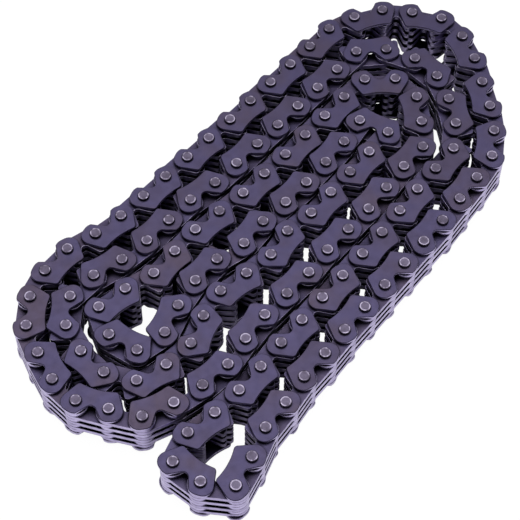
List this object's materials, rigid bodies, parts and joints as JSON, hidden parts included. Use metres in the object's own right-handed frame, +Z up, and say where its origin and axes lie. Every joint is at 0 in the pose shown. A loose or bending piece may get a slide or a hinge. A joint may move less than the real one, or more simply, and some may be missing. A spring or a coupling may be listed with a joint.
{
  "type": "timing chain",
  "caption": "Closed toothed timing chain of alternating inner and guide links on riveted pins, folded into a flat coil on its side.",
  "frame": {"origin": "under the middle of the coil, on the surface that the lower pin ends rest on", "axes": "+X along the coil's length, +Y across it away from the loose bight, +Z up along the pins"},
  "size_m": [0.1218, 0.0626, 0.01],
  "materials": {
    "guide_plate_steel": "black oxide, satin",
    "toothed_plate_steel": "black oxide, satin, bright punched edges",
    "pin_steel": "ground and riveted, satin"
  },
  "bodies": {
    "coil": {"coil_lower_guide_plates": "guide_plate_steel", "coil_upper_guide_plates": "guide_plate_steel", "coil_pins": "pin_steel", "coil_outer_plates_2": "toothed_plate_steel", "coil_outer_plates_4": "toothed_plate_steel", "coil_outer_plates_6": "toothed_plate_steel", "coil_inner_plates_1": "toothed_plate_steel", "coil_inner_plates_3": "toothed_plate_steel", "coil_inner_plates_5": "toothed_plate_steel", "coil_inner_plates_7": "toothed_plate_steel"},
    "front_link_1": {"front_link_1_guide_plates": "guide_plate_steel", "front_link_1_outer_plates": "toothed_plate_steel", "front_link_1_pins": "pin_steel"},
    "front_link_2": {"front_link_2_inner_plates": "toothed_plate_steel"},
    "front_link_3": {"front_link_3_guide_plates": "guide_plate_steel", "front_link_3_outer_plates": "toothed_plate_steel", "front_link_3_pins": "pin_steel"},
    "front_link_4": {"front_link_4_inner_plates": "toothed_plate_steel"},
    "front_link_5": {"front_link_5_guide_plates": "guide_plate_steel", "front_link_5_outer_plates": "toothed_plate_steel", "front_link_5_pins": "pin_steel"},
    "front_link_6": {"front_link_6_inner_plates": "toothed_plate_steel"},
    "front_link_7": {"front_link_7_guide_plates": "guide_plate_steel", "front_link_7_outer_plates": "toothed_plate_steel", "front_link_7_pins": "pin_steel"},
    "front_link_8": {"front_link_8_inner_plates": "toothed_plate_steel"},
    "front_link_9": {"front_link_9_guide_plates": "guide_plate_steel", "front_link_9_outer_plates": "toothed_plate_steel", "front_link_9_pins": "pin_steel"},
    "back_link_1": {"back_link_1_guide_plates": "guide_plate_steel", "back_link_1_outer_plates": "toothed_plate_steel", "back_link_1_pins": "pin_steel"},
    "back_link_2": {"back_link_2_inner_plates": "toothed_plate_steel"},
    "back_link_3": {"back_link_3_guide_plates": "guide_plate_steel", "back_link_3_outer_plates": "toothed_plate_steel", "back_link_3_pins": "pin_steel"},
    "back_link_4": {"back_link_4_inner_plates": "toothed_plate_steel"},
    "back_link_5": {"back_link_5_guide_plates": "guide_plate_steel", "back_link_5_outer_plates": "toothed_plate_steel", "back_link_5_pins": "pin_steel"},
    "back_link_6": {"back_link_6_inner_plates": "toothed_plate_steel"},
    "back_link_7": {"back_link_7_guide_plates": "guide_plate_steel", "back_link_7_outer_plates": "toothed_plate_steel", "back_link_7_pins": "pin_steel"},
    "back_link_8": {"back_link_8_inner_plates": "toothed_plate_steel"},
    "back_link_9": {"back_link_9_guide_plates": "guide_plate_steel", "back_link_9_outer_plates": "toothed_plate_steel", "back_link_9_pins": "pin_steel"},
    "bight": {"bight_guide_plates": "guide_plate_steel", "bight_outer_plates": "toothed_plate_steel", "bight_inner_plates": "toothed_plate_steel", "bight_pins": "pin_steel"}
  },
  "joints": [
    {"name": "front_pivot_1", "type": "hinge", "parent": "coil", "child": "front_link_1", "pos_m": [0.03, -0.02093, 0.00499], "axis": [0, 0, 1], "range_deg": [0, 35]},
    {"name": "front_pivot_2", "type": "hinge", "parent": "front_link_1", "child": "front_link_2", "pos_m": [0.02367, -0.02148, 0.00499], "axis": [0, 0, -1], "range_deg": [-35, 0]},
    {"name": "front_pivot_3", "type": "hinge", "parent": "front_link_2", "child": "front_link_3", "pos_m": [0.01735, -0.02204, 0.00499], "axis": [0, 0, 1], "range_deg": [0, 35]},
    {"name": "front_pivot_4", "type": "hinge", "parent": "front_link_3", "child": "front_link_4", "pos_m": [0.011, -0.02226, 0.00499], "axis": [0, 0, -1], "range_deg": [-35, 0]},
    {"name": "front_pivot_5", "type": "hinge", "parent": "front_link_4", "child": "front_link_5", "pos_m": [0.00465, -0.02248, 0.00499], "axis": [0, 0, 1], "range_deg": [0, 35]},
    {"name": "front_pivot_6", "type": "hinge", "parent": "front_link_5", "child": "front_link_6", "pos_m": [-0.00169, -0.0227, 0.00499], "axis": [0, 0, 1], "range_deg": [-35, 0]},
    {"name": "front_pivot_7", "type": "hinge", "parent": "front_link_6", "child": "front_link_7", "pos_m": [-0.00804, -0.02292, 0.00499], "axis": [0, 0, -1], "range_deg": [0, 35]},
    {"name": "front_pivot_8", "type": "hinge", "parent": "front_link_7", "child": "front_link_8", "pos_m": [-0.01438, -0.02314, 0.00499], "axis": [0, 0, 1], "range_deg": [-35, 0]},
    {"name": "front_pivot_9", "type": "hinge", "parent": "front_link_8", "child": "front_link_9", "pos_m": [-0.02072, -0.02359, 0.00499], "axis": [0, 0, -1], "range_deg": [0, 35]},
    {"name": "front_pivot_10", "type": "hinge", "parent": "front_link_9", "child": "bight", "pos_m": [-0.02706, -0.02381, 0.00499], "axis": [0, 0, 1], "range_deg": [-35, 0]},
    {"name": "back_pivot_1", "type": "hinge", "parent": "coil", "child": "back_link_1", "pos_m": [0.01999, -0.01373, 0.00499], "axis": [0, 0, 1], "range_deg": [0, 35]},
    {"name": "back_pivot_2", "type": "hinge", "parent": "back_link_1", "child": "back_link_2", "pos_m": [0.01366, -0.01428, 0.00499], "axis": [0, 0, -1], "range_deg": [-35, 0]},
    {"name": "back_pivot_3", "type": "hinge", "parent": "back_link_2", "child": "back_link_3", "pos_m": [0.00733, -0.01483, 0.00499], "axis": [0, 0, 1], "range_deg": [0, 35]},
    {"name": "back_pivot_4", "type": "hinge", "parent": "back_link_3", "child": "back_link_4", "pos_m": [0.00099, -0.01506, 0.00499], "axis": [0, 0, -1], "range_deg": [-35, 0]},
    {"name": "back_pivot_5", "type": "hinge", "parent": "back_link_4", "child": "back_link_5", "pos_m": [-0.00536, -0.01528, 0.00499], "axis": [0, 0, 1], "range_deg": [0, 35]},
    {"name": "back_pivot_6", "type": "hinge", "parent": "back_link_5", "child": "back_link_6", "pos_m": [-0.0117, -0.0155, 0.00499], "axis": [0, 0, 1], "range_deg": [-35, 0]},
    {"name": "back_pivot_7", "type": "hinge", "parent": "back_link_6", "child": "back_link_7", "pos_m": [-0.01805, -0.01572, 0.00499], "axis": [0, 0, -1], "range_deg": [0, 35]},
    {"name": "back_pivot_8", "type": "hinge", "parent": "back_link_7", "child": "back_link_8", "pos_m": [-0.0244, -0.01594, 0.00499], "axis": [0, 0, 1], "range_deg": [-35, 0]},
    {"name": "back_pivot_9", "type": "hinge", "parent": "back_link_8", "child": "back_link_9", "pos_m": [-0.03073, -0.01639, 0.00499], "axis": [0, 0, -1], "range_deg": [0, 35]}
  ],
  "couplings": [
    {"joint": "front_pivot_6", "follows": "front_pivot_1", "ratio": -1},
    {"joint": "front_pivot_7", "follows": "front_pivot_2", "ratio": -1},
    {"joint": "front_pivot_8", "follows": "front_pivot_3", "ratio": -1},
    {"joint": "front_pivot_9", "follows": "front_pivot_4", "ratio": -1},
    {"joint": "front_pivot_10", "follows": "front_pivot_5", "ratio": -1},
    {"joint": "back_pivot_1", "follows": "front_pivot_1", "ratio": 1},
    {"joint": "back_pivot_2", "follows": "front_pivot_2", "ratio": 1},
    {"joint": "back_pivot_3", "follows": "front_pivot_3", "ratio": 1},
    {"joint": "back_pivot_4", "follows": "front_pivot_4", "ratio": 1},
    {"joint": "back_pivot_5", "follows": "front_pivot_5", "ratio": 1},
    {"joint": "back_pivot_6", "follows": "front_pivot_1", "ratio": -1},
    {"joint": "back_pivot_7", "follows": "front_pivot_2", "ratio": -1},
    {"joint": "back_pivot_8", "follows": "front_pivot_3", "ratio": -1},
    {"joint": "back_pivot_9", "follows": "front_pivot_4", "ratio": -1}
  ]
}
